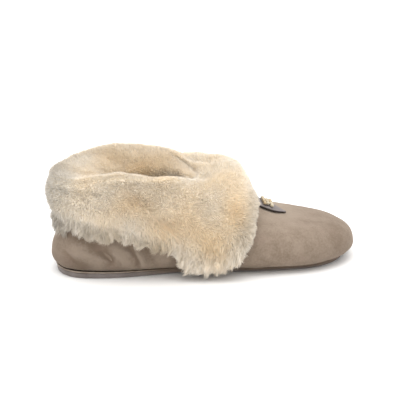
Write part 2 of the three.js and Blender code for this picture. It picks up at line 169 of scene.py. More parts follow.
def lastPoint(angle, level):
    # the angle runs from the heel (0) round the outer side to the toe (pi) and back, level from the sole's
    # edge (0) to the collar (1). A ring is stretched from heel to toe, its half width is a spread times
    # the sine of the angle, and its height runs through heel, waist, ball and toe
    angle, level = np.broadcast_arrays(np.asarray(angle, float), np.asarray(level, float))
    shape = angle.shape
    angle, level = angle.ravel(), level.ravel()
    share = shareOf(angle)
    levels = np.linspace(0, 1, len(last["side"]))
    read = lambda table: (smoothCurve(levels, column, level) for column in np.transpose(last[table]))
    xHeel, zHeel, zWaist, zBall, xToe, zToe = read("side")
    rHeel, heel, waist, ball, rToe = read("plan")
    half = (xToe - xHeel) / 2
    stations = np.array(last["stations"])
    sines = 2 * np.sqrt(stations * (1 - stations))
    heelEnd, toeEnd = np.sqrt(rHeel * half), np.sqrt(rToe * half)
    widths = [heelEnd, heel / sines[1], waist / sines[2], ball / sines[3], toeEnd]
    spread = smoothCurve(stations, np.stack(widths), share)
    height = smoothCurve(stations[[0, 2, 3, 4]], np.stack([zHeel, zWaist, zBall, zToe]), share)
    x = mixed(xHeel, xToe, share)
    y = smoothCurve(*last["axis"], share) * (1 - level**2) - np.sin(angle) * spread
    z = height - last["collarLean"] * np.sin(angle) * level**2
    return np.stack([x, y, z], -1).reshape(shape + (3,))


def lastFrame(angle, level):
    # unit directions up the side and out of it, from small steps on the surface
    step = 1e-3
    up = unit(lastPoint(angle, np.minimum(level + step, 1)) - lastPoint(angle, np.maximum(level - step, 0)))
    around = lastPoint(angle + step, level) - lastPoint(angle - step, level)
    return up, unit(np.cross(around, up))


def lastOffset(angle, level, distance):
    # a point of the last moved out along its own direction
    out = lastFrame(angle, level)[1]
    return lastPoint(angle, level) + out * np.asarray(distance)[..., None]


def turnOf(count):
    # even angles round a ring
    return np.arange(count) * (2 * np.pi / count)


# meshes from arrays

def gridFaces(columns, rows, isRing):
    # quads of a grid that closes over its columns, and over its rows too if it is a ring
    c, r = np.meshgrid(np.arange(columns), np.arange(rows if isRing else rows - 1), indexing="ij")
    d, s = (c + 1) % columns, (r + 1) % rows
    return np.stack([c * rows + r, d * rows + r, d * rows + s, c * rows + s], -1).reshape(-1, 4)


def addObject(name, data):
    # an object at the origin of the scene
    made = bpy.data.objects.new(name, data)
    bpy.context.scene.collection.objects.link(made)
    return made


def newPiece(name, points, faces, material):
    # vertices in metres about the frame's origin; every face has the same count of corners
    mesh = bpy.data.meshes.new(name)
    mesh.vertices.add(len(points))
    mesh.vertices.foreach_set("co", ((points - heelSeat) / 1000).astype(np.float32).ravel())
    mesh.loops.add(faces.size)
    mesh.loops.foreach_set("vertex_index", faces.astype(np.int32).ravel())
    mesh.polygons.add(len(faces))
    mesh.polygons.foreach_set("loop_start", np.arange(0, faces.size, faces.shape[1], dtype=np.int32))
    mesh.update(calc_edges=True)
    mesh.shade_smooth()
    mesh.materials.append(material)
    piece = addObject(name, mesh)
    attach(piece, "root")
    return piece


def gridPiece(name, grid, isRing, material):
    # a piece whose points are a grid
    return newPiece(name, grid.reshape(-1, 3), gridFaces(*grid.shape[:2], isRing), material)


def addMask(piece, name, values):
    # a number at each vertex that materials read by name
    layer = piece.data.attributes.new(name, "FLOAT", "POINT")
    layer.data.foreach_set("value", values.astype(np.float32).ravel())


def gridNormals(grid):
    # cross product of the steps along columns and rows of a grid that closes both ways
    alongColumns = np.roll(grid, -1, 0) - np.roll(grid, 1, 0)
    alongRows = np.roll(grid, -1, 1) - np.roll(grid, 1, 1)
    return unit(np.cross(alongColumns, alongRows))


# shader maths

class Wire:
    # a socket of a material's tree; arithmetic on it adds Math nodes
    def __init__(self, tree, socket):
        self.tree = tree
        self.socket = socket

    def node(self, kind, settings=None, sockets=None, out=0):
        # any node: its type, its settings, the values or links of its sockets, and the output wanted
        made = self.tree.nodes.new(kind)
        for key, value in (settings or {}).items():
            setattr(made, key, value)
        for key, value in (sockets or {}).items():
            if isinstance(value, Wire):
                self.tree.links.new(value.socket, made.inputs[key])
            else:
                made.inputs[key].default_value = value
        return Wire(self.tree, made.outputs[out])

    def math(self, operation, a, b=0.0, clamp=False):
        # two numbers or wires joined by one operation
        return self.node("ShaderNodeMath", {"operation": operation, "use_clamp": clamp}, {0: a, 1: b})

    def __add__(self, other):
        return self.math("ADD", self, other)

    def __radd__(self, other):
        return self.math("ADD", other, self)

    def __sub__(self, other):
        return self.math("SUBTRACT", self, other)

    def __mul__(self, other):
        return self.math("MULTIPLY", self, other)

    def __rmul__(self, other):
        return self.math("MULTIPLY", other, self)

    def held(self):
        # kept between 0 and 1
        return self.math("ADD", self, 0.0, clamp=True)

    def ramp(self, low, high):
        # 0 at low, 1 at high, smooth in between
        settings = {"interpolation_type": "SMOOTHSTEP"}
        return self.node("ShaderNodeMapRange", settings, {"Value": self, "From Min": low, "From Max": high})

    def tint(self, mask, base, other):
        # one colour into another by a mask
        return self.node("ShaderNodeMix", {"data_type": "RGBA"}, {0: mask, 6: base, 7: other}, out=2)

    def shade(self, colour, amount):
        # a colour made darker or lighter by a number
        return self.node("ShaderNodeVectorMath", {"operation": "SCALE"}, {0: colour, "Scale": amount})

    def noise(self, place, scale, detail=3.0, roughness=0.5):
        # cloudy values of about 0 to 1
        sockets = {"Vector": place, "Scale": scale, "Detail": detail, "Roughness": roughness}
        return self.node("ShaderNodeTexNoise", None, sockets)

    def mask(self, name):
        # a piece's own number at each vertex
        return self.node("ShaderNodeAttribute", {"attribute_name": name}, out="Fac")


def srgb(red, green, blue):
    # a screen colour of 0 to 255 as the linear one that shaders take
    c = np.array([red, green, blue]) / 255
    linear = np.where(c <= 0.04045, c / 12.92, ((c + 0.055) / 1.055) ** 2.4)
    return (*linear.tolist(), 1.0)


def newMaterial(name, constants):
    # a Principled surface with its fixed values, the wire that grows its nodes, and object coordinates
    material = bpy.data.materials.new(name)
    material.use_nodes = True
    tree = material.node_tree
    surface = tree.nodes["Principled BSDF"]
    for key, value in constants.items():
        surface.inputs[key].default_value = value
    start = Wire(tree, surface.outputs[0])
    place = start.node("ShaderNodeTexCoord", out="Object")
    finish = lambda socket, wire: tree.links.new(wire.socket, surface.inputs[socket])
    return material, start, place, finish


def addBump(start, finish, height, distance, strength=1.0):
    # heights of about 0 to 1 stand for a depth in metres
    sockets = {"Height": height, "Distance": distance, "Strength": strength}
    finish("Normal", start.node("ShaderNodeBump", None, sockets))


# finishes

suedeLook = {
    "pale": srgb(147, 132, 117),
    "deep": srgb(121, 105, 90),
    "rosy": srgb(135, 115, 102),
    # dark brown for the toe and the lower edge, and for painted shade at the heel and under the wool
    "darkeningAndShade": srgb(69, 55, 45),
}


def suedeMaterial():
    # brushed suede: cloudy nap at four sizes, paler on ridges and darker in folds as painted light and shade
    # darker at the toe and along the lower edge, with painted shade at the heel and painted shadow under the
    # wool
    material, wire, place, finish = newMaterial("taupeSuede", {
        "Specular IOR Level": 0.18, "Sheen Weight": 0.25, "Sheen Roughness": 0.5,
        "Sheen Tint": srgb(225, 212, 198),
    })
    cloud = wire.noise(place, 26.0, 2.0)
    blotch = wire.noise(place, 110.0, 3.0, 0.6)
    nap = wire.noise(place, 620.0, 3.0, 0.65)
    fibre = wire.noise(place, 2300.0, 2.0, 0.6)
    fold = wire.mask("fold")
    darkeningAndShade = wire.mask("darkeningAndShade")
    # fold: painted light on ridges and lumps and painted shade in troughs, partly rubbed pale
    tone = (cloud - 0.5) * 0.7 + (blotch - 0.5) * 0.8 + (nap - 0.5) * 0.8 + fold * 0.42 + 0.5
    colour = wire.tint(tone.ramp(0.1, 0.9), suedeLook["deep"], suedeLook["pale"])
    colour = wire.tint(wire.noise(place, 55.0, 2.0).ramp(0.52, 0.75) * 0.3, colour, suedeLook["rosy"])
    # toe and lower edge darker; painted shade at the heel and painted shadow under the wool
    colour = wire.tint((darkeningAndShade * (0.75 + blotch * 0.5)).held(), colour, suedeLook["darkeningAndShade"])
    finish("Base Color", colour)
    finish("Roughness", 0.84 + nap * 0.14)
    addBump(wire, finish, blotch * 0.45 + nap * 0.4 + fibre * 0.3, 0.0005, 0.7)
    return material


woolLook = {
    "cool": srgb(249, 243, 234),
    "warm": srgb(255, 232, 196),
    "paintedRootGlow": srgb(254, 243, 222),  # painted light deep between the strands, for light scattered in the wool
    "paintedLightFloor": 0.5,  # painted light of the most shaded lock against the palest
}


def woolStrandMaterial():
    # each lock has a column of the palette map: eight warmths with eight levels of painted light in each; v
    # runs root to tip
    material, wire, _, finish = newMaterial("shearlingStrand", {
        "Roughness": 0.9, "Specular IOR Level": 0.12, "Sheen Weight": 0.2, "Sheen Roughness": 0.6,
    })
    palette = wire.node("ShaderNodeUVMap", {"uv_map": "OFBake"})
    column = wire.node("ShaderNodeSeparateXYZ", None, {0: palette}, out="X")
    along = wire.node("ShaderNodeSeparateXYZ", None, {0: palette}, out="Y")
    warmth = wire.math("FLOOR", column * 8.0) * (1 / 7)
    paintedLight = wire.math("FLOOR", wire.math("FRACT", column * 8.0) * 8.0) * (1 / 7)
    colour = wire.tint(warmth, woolLook["cool"], woolLook["warm"])
    # a painted glow at the roots stands in for light scattered among the strands
    colour = wire.tint(along.ramp(0.1, 0.9), woolLook["paintedRootGlow"], colour)
    finish("Base Color", wire.shade(colour, woolLook["paintedLightFloor"] + (1 - woolLook["paintedLightFloor"]) * paintedLight))
    return material


def woolBodyMaterial():
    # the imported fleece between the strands: the same colours by a warmth mask, in small curls
    material, wire, place, finish = newMaterial("shearlingFleece", {
        "Roughness": 0.95, "Specular IOR Level": 0.1, "Sheen Weight": 0.08, "Sheen Roughness": 0.6,
    })
    curl = wire.noise(place, 420.0, 3.0, 0.6)
    tuft = wire.noise(place, 150.0, 2.0, 0.5)
    colour = wire.tint(wire.mask("warmth"), woolLook["cool"], woolLook["warm"])
    # darkened to about three quarters as painted shade, to match the strands that shade one another
    finish("Base Color", wire.shade(colour, 0.74 + 0.12 * curl + 0.08 * tuft))
    addBump(wire, finish, curl * 0.6 + tuft * 0.6, 0.0008, 0.8)
    return material


soleLook = {
    "mid": srgb(139, 132, 129),
    "deep": srgb(107, 99, 96),
    "rubbed": srgb(118, 107, 98),
    "fore": suedeLook["deep"],  # its side at the forefoot
}


def soleMaterial():
    # dark sole leather, rubbed pale where the mask says that it is worn
    material, wire, place, finish = newMaterial("soleSuede", {"Specular IOR Level": 0.2, "Sheen Weight": 0.1})
    blotch = wire.noise(place, 70.0, 3.0, 0.6)
    grain = wire.noise(place, 900.0, 3.0, 0.6)
    tone = (blotch * 0.7 + grain * 0.3).ramp(0.3, 0.7)
    colour = wire.tint(tone, soleLook["deep"], soleLook["mid"])
    wear = (wire.mask("wear") * (0.4 + blotch * 0.9)).held()
    colour = wire.tint(wear, colour, soleLook["rubbed"])
    finish("Base Color", wire.tint(wire.mask("fore"), colour, soleLook["fore"]))
    finish("Roughness", 0.75 + grain * 0.2)
    addBump(wire, finish, grain * 0.7 + blotch * 0.3, 0.0004, 0.7)
    return material


randLook = {
    "pale": srgb(174, 160, 145),
    "dim": srgb(136, 121, 108),
    "groove": srgb(82, 70, 61),
    "fore": suedeLook["deep"],
}


def randMaterial():
    # pale folded strip with dark grooves along its two edges
    material, wire, place, finish = newMaterial("paleStrip", {"Specular IOR Level": 0.25})
    blotch = wire.noise(place, 130.0, 3.0, 0.6)
    grain = wire.noise(place, 1400.0, 2.0, 0.6)
    tone = (blotch * 0.8 + grain * 0.2).ramp(0.35, 0.7)
    colour = wire.tint(tone, randLook["dim"], randLook["pale"])
    colour = wire.tint(wire.mask("groove"), colour, randLook["groove"])
    finish("Base Color", wire.tint(wire.mask("fore"), colour, randLook["fore"]))
    finish("Roughness", 0.62 + grain * 0.25)
    addBump(wire, finish, grain, 0.0002, 0.6)
    return material


tabLook = {"mid": srgb(114, 105, 103), "pale": srgb(135, 127, 123), "edge": srgb(48, 38, 34)}


def tabMaterial():
    # smooth grey-mauve leather, with dark burnished edges
    material, wire, place, finish = newMaterial("tabLeather", {"Specular IOR Level": 0.4})
    cloud = wire.noise(place, 160.0, 3.0, 0.6)
    pores = wire.noise(place, 1700.0, 2.0, 0.5)
    colour = wire.tint(cloud.ramp(0.35, 0.7), tabLook["mid"], tabLook["pale"])
    finish("Base Color", wire.tint(wire.mask("rim"), colour, tabLook["edge"]))
    finish("Roughness", 0.46 + pores * 0.2)
    addBump(wire, finish, pores * 0.6 + cloud * 0.4, 0.0002, 0.7)
    return material


beadLook = {"cream": srgb(192, 179, 153), "gold": srgb(166, 138, 92), "shadeBetween": srgb(76, 61, 48)}


def beadMaterial():
    # glossy cream and gold beads, with painted shade on their lower halves where they touch
    material, wire, place, finish = newMaterial("creamBead", {
        "Specular IOR Level": 0.6, "Coat Weight": 0.6, "Coat Roughness": 0.08,
    })
    tone = wire.mask("tone")
    swirl = wire.noise(place, 700.0, 2.0)
    colour = wire.tint((tone + (swirl - 0.5) * 0.3).held(), beadLook["cream"], beadLook["gold"])
    # the low mask darkens each bead's lower half as painted shade
    finish("Base Color", wire.tint(wire.mask("low"), colour, beadLook["shadeBetween"]))
    finish("Roughness", 0.2 + swirl * 0.2)
    finish("Metallic", tone * 0.5)
    addBump(wire, finish, swirl, 0.0001, 0.4)
    return material


suede = suedeMaterial()
woolStrand = woolStrandMaterial()
woolBody = woolBodyMaterial()
soleLeather = soleMaterial()
paleStrip = randMaterial()
tabLeather = tabMaterial()
creamBead = beadMaterial()
print("finishes made:", len(bpy.data.materials))


# sizes of the cuff, whose edge also says where painted shadow falls on the upper

cuffShape = {
    "columns": 240,
    "samples": 5,  # rows for each control point of the section
    # lower and front edge seen from the side: x, z
    "edge": [
        [-20, 14, 42, 62, 82, 96, 103, 105, 107.5, 112, 122, 133, 143, 152, 159, 163, 165.5, 166.5],
        [47.5, 46.5, 45, 41, 37, 34, 32, 24, 16, 12, 11, 13, 17, 22, 31, 40, 48, 70],
    ],
    # locks that hang from that edge: x, half width, drop
    "locks": [
        (2, 4, 4), (12, 4, 5.5), (33, 4.5, 6), (44, 4, 6),
        (62, 5, 2.5), (74, 5, 5), (85, 4, 4), (96, 3.5, 4),
    ],
    "shares": [0, 0.15, 0.3, 0.6, 1],  # of the foot's length, for the tables of five below
    "fold": [9, 9.5, 10, 11, 13],  # depth of the wool at the fold, halfway down and at the lower edge
    "middle": [12.5, 15, 17, 20, 23],
    "low": [6, 9, 14, 17, 14],
    "rollOuter": [3.0, 3.2, 3.6, 3.6, 1.6],  # packed fleece over the collar, on the outer and inner side
    "rollInner": [3.0, 2.2, 1.5, 2.4, 8.0],
    # where the collar opens at the front: how far the roll and the fold sink
    "dips": [
        {"angle": 2.5, "halfWidth": 0.42, "roll": 1.8, "fold": 6.5},
        {"angle": 3.85, "halfWidth": 0.55, "roll": -4.2, "fold": 5.0},
    ],
    "dome": [0.8, 0.8, 0.8, 2.6, 2.0],  # swelling of the wool between the collar and the mouth
    "insideReach": 24.0,
    "insideRoom": 0.3,
    "insideStops": [(1.3, 0.85), (1.05, 0.3)],  # share of the way to the mouth, and of the reach down
    # oval left open at the collar: its ends, how high it is there, and how far it turns to the outer side
    "mouth": {
        "heel": (44.0, 77.0), "front": (126.0, 72.0), "halfWidth": 15.5, "middle": -4.0, "skew": -10.0,
    },
    "hangRoom": 0.7,
    "softReach": 9,  # columns over which the lapel's corner is evened out in the wool's depth
    "strandReach": [2.6, 2.6, 2.6, 2.8, 3.4],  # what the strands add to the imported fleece
    "longReach": 3.0,  # what they add more at the lower edge
    "leastPacked": 0.25,  # share of the whole depth that is packed at least
    "falls": [0.1, 0.26, 0.44, 0.62, 0.8, 0.94],  # stops down the outside
    "turns": [0.95, 0.75, 0.5, 0.25, 0.05],  # stops over the roll, in half turns
    "edgeStops": (0.72, 0.3),  # stops under the lower edge, as shares of the depth there
    "lumps": [(38, 0.9, 51), (17, 0.55, 52), (8, 0.25, 53)],  # size, height, seed
}


# upper: a hollow suede wall with soft folds

upperShape = {
    "columns": 440,
    "outsideRows": 120,
    "insideRows": 36,
    "collar": 0.975,  # level of its upper edge, under the wool
    "turnIn": 0.9,  # how far its lower edge is drawn in
    "vampWear": 0.9,  # paler nap on top of the vamp
    # darkening: the toe and the lower edge darker, painted shade low on the heel, painted shadow under the
    # cuff
    "darkeningAndShade": {"toe": 0.14, "edge": 0.38, "low": 0.2, "heel": 0.3, "underCuff": 0.4},
    "lumps": [(46, 0.35, 3), (21, 0.22, 4), (11, 0.1, 5)],  # size, height, seed
    # folds seen from the side: path of (x, z), side of the foot, half width, height (down if negative)
    "folds": [
        ([(12, 27), (22, 24), (31, 21), (39, 16), (44, 11)], -1, 5.2, 1.54),
        ([(9, 18), (20, 15), (30, 11.5)], -1, 4, -0.7),
        ([(28, 33), (38, 27), (46, 20), (51, 12)], -1, 5.4, -1.26),
        ([(46, 31), (53, 24), (58, 19), (63, 12)], -1, 4.4, 1.4),
        ([(57, 33), (64, 25), (69, 16), (71, 9)], -1, 3.4, -1.26),
        ([(67, 28), (70.5, 21), (73, 16), (75.5, 9)], -1, 2, 1.4),
        ([(74, 30), (79, 22), (81, 12)], -1, 3.4, -1.12),
        ([(88, 27), (94, 20), (97, 12)], -1, 5, 0.7),
        ([(14, 29), (24, 25), (34, 19), (42, 12)], 1, 5.2, 1.4),
        ([(32, 33), (41, 26), (50, 17)], 1, 5, -1.26),
        ([(50, 31), (57, 23), (64, 13)], 1, 4.4, 1.26),
        ([(64, 31), (70, 22), (75, 11)], 1, 2.8, -1.26),
        ([(80, 29), (85, 20), (88, 11)], 1, 3.6, 0.98),
        ([(17, 21), (23, 23.5), (30, 22), (37, 18)], -1, 1.5, 0.9),
        ([(28, 16), (36, 20), (43, 18), (49, 13)], -1, 1.5, 0.85),
        ([(45, 26), (52, 23), (57, 19), (60, 14)], -1, 1.4, 0.85),
        ([(56, 29), (63, 24), (67, 18), (68, 13)], -1, 1.4, 0.8),
        ([(70, 25), (73, 19), (75, 12)], -1, 1.3, 0.9),
        ([(9, 24), (15, 20), (20, 14)], -1, 1.6, -0.7),
        ([(34, 27), (41, 25), (47, 19), (50, 12)], -1, 1.5, -0.8),
        ([(62, 29), (67, 23), (70, 17), (71, 12)], -1, 1.4, -0.8),
        ([(178, 38), (184, 30), (187, 20), (186, 11)], -1, 5.5, -0.42),
        ([(204, 34), (211, 26), (212, 15)], -1, 6.5, -0.35),
        ([(232, 31), (239, 24), (238, 14)], -1, 5.5, -0.35),
        ([(186, 38), (192, 28), (193, 14)], 1, 6, -0.42),
        ([(222, 33), (229, 25), (228, 13)], 1, 6, -0.35),
    ],
}


def pathReach(x, z, path):
    # distance from a path of straight spans, seen from the side, and how far along it the nearest place is
    path = np.array(path, float)
    a, step = path[:-1], np.diff(path, axis=0)
    spot = np.stack([x, z], -1)[..., None, :] - a
    t = np.clip((spot * step).sum(-1) / (step**2).sum(-1), 0, 1)
    gap = np.linalg.norm(spot - t[..., None] * step, axis=-1)
    nearest = gap.argmin(-1)[..., None]
    along = (np.take_along_axis(t, nearest, -1) + nearest)[..., 0] / len(step)
    return np.take_along_axis(gap, nearest, -1)[..., 0], along


def foldHeight(points, out, folds):
    # each fold is a bell across its path with shallow opposite bells beside it, and fades at both ends
    total = np.zeros(points.shape[:-1])
    for path, side, width, height in folds:
        gap, along = pathReach(points[..., 0], points[..., 2], path)
        profile = bell(gap / width) - 0.35 * bell((gap - 2.1 * width) / (1.1 * width))
        ends = smoothStep(along / 0.25) * rampDown(along, 1, 0.25)
        faces = smoothStep(0.2 + side * out[..., 1] * 1.4)
        total += height * profile * ends * faces
    return total


def makeUpper(shape):
    # the last's surface with folds and lumps outside, and a plain one a wall's thickness inside it
    angle = turnOf(shape["columns"])[:, None]
    even = np.linspace(0.0, 1.0, shape["outsideRows"])[None]
    levels = (smoothStep(even) * 0.35 + 0.65 * even) * shape["collar"]  # rows lie closer at both edges
    flat = lastPoint(angle, levels)
    out = lastFrame(angle, levels)[1]
    x, z = flat[..., 0], flat[..., 2]
    folds = foldHeight(flat, out, shape["folds"])
    lumps = lumpsOn(flat, shape["lumps"])
    inset = smoothStep(levels / 0.05)  # the lower edge stays where the sole is sewn on
    turnIn = shape["turnIn"] * bell(levels / 0.03)
    outside = flat + out * ((folds + lumps) * inset - turnIn)[..., None]
    insideLevels = np.linspace(shape["collar"], 0.005, shape["insideRows"])[None]
    inside = lastOffset(angle, insideLevels, -last["wall"])
    piece = gridPiece("upperSuede", np.concatenate([outside, inside], 1), True, suede)
    onOutside = lambda values: np.pad(values, ((0, 0), (0, shape["insideRows"])))
    vamp = hump(x, 190, 24) * rampUp(z, 30, 14)
    # the fold mask is painted light on ridges and lumps and painted shade in troughs, partly rubbed pale, and
    # paler on top of the vamp
    addMask(piece, "fold", onOutside((folds / 1.5 + lumps * 0.25) * inset + shape["vampWear"] * vamp))
    # darker at the toe and towards the lower edge, with painted shade low on the heel
    much = shape["darkeningAndShade"]
    below = np.interp(x, *cuffShape["edge"]) - 4 - z
    darkeningAndShade = much["toe"] * rampUp(x, 190, 60)
    darkeningAndShade = darkeningAndShade + much["edge"] * bell(levels / 0.045) + much["low"] * bell(levels / 0.16)
    darkeningAndShade = darkeningAndShade + much["heel"] * (hump(x, 20, 46) * hump(z, 8, 20))
    # painted shadow just under the cuff's lower edge
    darkeningAndShade = darkeningAndShade + much["underCuff"] * (bell(np.maximum(below, 0) / 6) * rampDown(x, 108, 10))
    addMask(piece, "darkeningAndShade", onOutside(darkeningAndShade))
    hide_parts("upper")
    return piece


upperPiece = makeUpper(upperShape)
print("upper made:", len(upperPiece.data.polygons), "faces")


# sole, strip and footbed, all from the plan of the upper's lower edge

bottomShape = {
    "columns": 300,
    "gap": 0.3,
    "randHeight": 1.4,
    "randDepth": 3.6,
    "randProud": 0.7,
    "randRows": 20,
    "heelProud": 0.5,
    "toeTuck": 1.2,
    "tuckShare": 0.4,
    "bevel": 1.2,
    "arch": {"start": 76, "end": 150, "inner": 1.8, "outer": 0.7, "halfWidth": 26.0},
    "floor": [[0, 12, 214, 254], [0.5, 0, 0, 1.8]],
    "insoleThickness": 5.0,
    "insoleRound": 1.6,  # radius of the footbed's side
    "insoleInset": 0.6,
    "insoleCrown": 1.1,
    "insoleDish": 0.9,  # how far heel and ball are worn in
}


def edgePoint(angle, outward, down):
    # the upper's lower edge moved out level and down
    step = 1e-3
    around = lastPoint(angle + step, 0.0) - lastPoint(angle - step, 0.0)
    out = unit(np.stack([around[..., 1], -around[..., 0], 0 * angle], -1))
    point = lastPoint(angle, 0.0) + out * np.asarray(outward)[..., None]
    point[..., 2] -= down
    return point


def soleProud(angle):
    # the sole stands out at the heel and tucks under at the forefoot
    shape = bottomShape
    return mixed(shape["heelProud"], -shape["toeTuck"], smoothStep(shareOf(angle) / shape["tuckShare"]))


def archLift(x, y):
    # a squared sine along the waist, higher on the inner side
    arch = bottomShape["arch"]
    along = np.clip((x - arch["start"]) / (arch["end"] - arch["start"]), 0, 1)
    across = smoothStep(0.5 + y / (2 * arch["halfWidth"]))
    return mixed(arch["outer"], arch["inner"], across) * np.sin(np.pi * along) ** 2


def towardsAxis(loop, share):
    # a loop drawn in to the foot's lengthwise axis: columns c and -c meet there at share 1
    mirror = np.roll(loop[::-1], 1, 0)
    return mixed(loop, (loop + mirror) / 2, share)


def closeGrid(piece):
    # the two sides of the axis become one line
    piece.data.validate()
    modifier = piece.modifiers.new("closeAxis", "WELD")
    modifier.merge_threshold = 2e-6


def makeOutsole(shape):
    # loops of the plan: over the underside, round the bevel, up the side and back over the top
    angle = turnOf(shape["columns"])
    floorAt = lambda p: smoothCurve(*shape["floor"], p[:, 0]) + archLift(p[:, 0], p[:, 1])
    loops = []
    for share in [1.0, 0.85, 0.65, 0.45, 0.28, 0.14, 0.05]:
        loop = towardsAxis(edgePoint(angle, soleProud(angle) - shape["bevel"] - 0.5, 0), share)
        loop[:, 2] = floorAt(loop)
        loops.append(loop)
    for turn in np.linspace(0, np.pi / 2, 6):
        loop = edgePoint(angle, soleProud(angle) - shape["bevel"] * (1 - np.sin(turn)), 0)
        loop[:, 2] = floorAt(loop) + shape["bevel"] * (1 - np.cos(turn))
        loops.append(loop)
    low = loops[-1]
    high = edgePoint(angle, soleProud(angle), shape["randHeight"] + 2 * shape["gap"])
    swell = 0.16 * ripple(low, 18, 21)[:, None] * np.array([0.0, 0.0, 1.0])
    loops += [mixed(low, high, u) + swell * np.sin(np.pi * u) for u in (0.35, 0.7, 1.0)]
    loops += [towardsAxis(high, share) for share in (0.04, 0.3, 0.7, 1.0)]
    grid = np.stack(loops, 1)
    piece = gridPiece("outsoleSuede", grid, False, soleLeather)
    x, z = grid[..., 0], grid[..., 2]
    worn = rampDown(z, 1.0, 0.8) * (hump(x, 34, 30) + hump(x, 190, 34))
    addMask(piece, "wear", 0.25 + 0.6 * worn)
    addMask(piece, "fore", 0.8 * rampUp(z, 1.0, 1.2) * rampUp(shareOf(angle), 0.22, 0.16)[:, None])
    closeGrid(piece)
    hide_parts("outsole")


def makeRand(shape):
    # a flat oval strip carried round the foot, with a small wobble where it was sewn
    angle = turnOf(shape["columns"])
    middle = shape["gap"] + shape["randHeight"] / 2
    proud = soleProud(angle) + shape["randProud"]
    reach = (proud + shape["randDepth"]) / 2
    turns = turnOf(shape["randRows"])
    wobble = 0.14 * np.sin(angle * 96) + 0.1 * np.sin(angle * 41 + 1)
    loops = []
    for turn in turns:
        across = signedPower(np.cos(turn), 0.3)
        height = signedPower(np.sin(turn), 0.7) * shape["randHeight"] / 2
        outward = -shape["randDepth"] + reach * (1 + across) + wobble * max(across, 0)
        loops.append(edgePoint(angle, outward, middle - height))
    grid = np.stack(loops, 1)
    piece = gridPiece("randStrip", grid, True, paleStrip)
    groove = rampUp(np.abs(np.sin(turns)), 0.72, 0.25)
    fore = rampUp(shareOf(angle), 0.2, 0.14)[:, None]
    addMask(piece, "groove", np.broadcast_to(groove, grid.shape[:2]))
    addMask(piece, "fore", np.broadcast_to(fore, grid.shape[:2]))
    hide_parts("rand")


def makeInsole(shape):
    # a crowned pad: a rounded side, and a top that swells towards the axis with heel and ball worn in
    angle = turnOf(shape["columns"])
    inset = -shape["randDepth"] - shape["gap"]
    bottom = shape["randHeight"] + shape["gap"]
    under = edgePoint(angle, inset - shape["insoleInset"], bottom)
    loops = [towardsAxis(under, share) for share in (1.0, 0.7, 0.35, 0.1, 0.0)]
    for turn in np.linspace(0.15, 1.0, 6) * np.pi / 2:
        rise = (shape["insoleThickness"] - shape["insoleInset"]) * np.sin(turn)
        loops.append(edgePoint(angle, inset - shape["insoleRound"] * (1 - np.cos(turn)), bottom - rise))
    top = loops[-1]
    for share in (0.12, 0.28, 0.45, 0.62, 0.8, 0.92, 1.0):
        loop = towardsAxis(top, share)
        dish = hump(loop[:, 0], 34, 26) + hump(loop[:, 0], 178, 34)
        crown = shape["insoleCrown"] - shape["insoleDish"] * dish
        loop[:, 2] += np.sin(share * np.pi / 2) * crown + 0.35 * ripple(loop, 13, 31)
        loops.append(loop)
    grid = np.stack(loops, 1)
    piece = gridPiece("insoleFleece", grid, False, woolBody)
    addMask(piece, "warmth", np.full(grid.shape[:2], 0.8))
    closeGrid(piece)
    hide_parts("insole")


makeOutsole(bottomShape)
makeRand(bottomShape)
makeInsole(bottomShape)
print("bottom made")


# lining: the wool side of the upper's sheepskin

liningShape = {
    "columns": 200,
    "rows": 60,
    "depth": 4.6,
    "clear": 0.25,
    "drop": 0.25,  # its lower edge closes the seam over the strip
    "insets": (2.1, 3.1),  # of that edge's two sides
    "edge": 0.4,  # thickness at both edges
    "lumps": [(17, 0.7, 41), (8, 0.45, 42)],
}


def makeLining(shape):
    # a shell inside the wall: against it on one side, lumpy fleece on the other, thin at both edges
    angle = turnOf(shape["columns"])[:, None]
    levels = np.linspace(0.005, 0.95, shape["rows"])[None]
    near = lastOffset(angle, levels, -last["wall"] - shape["clear"])
    taper = rampUp(levels, 0.06, 0.06) * rampDown(levels, 0.95, 0.05)
    lumps = lumpsOn(near, shape["lumps"])
    depth = last["wall"] + shape["clear"] + shape["edge"] + (shape["depth"] + lumps) * taper
    far = lastOffset(angle, levels, -depth)
    for side, inset in zip((near, far), shape["insets"]):
        side[:, 0] = edgePoint(angle[:, 0], -inset, shape["drop"])
    grid = np.concatenate([near, far[:, ::-1]], 1)
    piece = gridPiece("liningFleece", grid, True, woolBody)
    addMask(piece, "warmth", np.full(grid.shape[:2], 0.95))


makeLining(liningShape)
print("lining made")


# cuff: wool folded over the collar and hanging down outside

def hangPoint(angle, level):
    # on the upper's side, and straight down from its widest ring
    angle, level = np.broadcast_arrays(angle, level)
    point = lastPoint(angle, level)
    hung = lastPoint(angle, np.maximum(level, last["widest"]))
    point[..., :2] = hung[..., :2]
    return point


def hangOut(angle, level):
    # out of the upper's side; level where the cuff hangs
    angle, level = np.broadcast_arrays(angle, level)
    out = lastFrame(angle, np.maximum(level, last["widest"]))[1]
    out[..., 2] = np.where(level < last["widest"], 0, out[..., 2])
    return unit(out)


def underCuff(x, z):
    # a ray towards +x crosses the outline under the cuff an odd number of times
    edgeX = np.linspace(cuffShape["edge"][0][0], cuffShape["edge"][0][-1], 200)
    edgeZ = np.interp(edgeX, *cuffShape["edge"])
    edgeZ -= sum(drop * hump(edgeX, place, width) for place, width, drop in cuffShape["locks"])
    aX, aZ = np.append(edgeX, [edgeX[-1], edgeX[0]]), np.append(edgeZ, [200, 200])
    bX, bZ = np.roll(aX, -1), np.roll(aZ, -1)
    spans = (aZ > z[..., None]) != (bZ > z[..., None])
    slope = (bX - aX) / np.where(bZ == aZ, 1, bZ - aZ)
    crossing = aX + slope * (z[..., None] - aZ)
    return (spans & (x[..., None] < crossing)).sum(-1) % 2 == 1


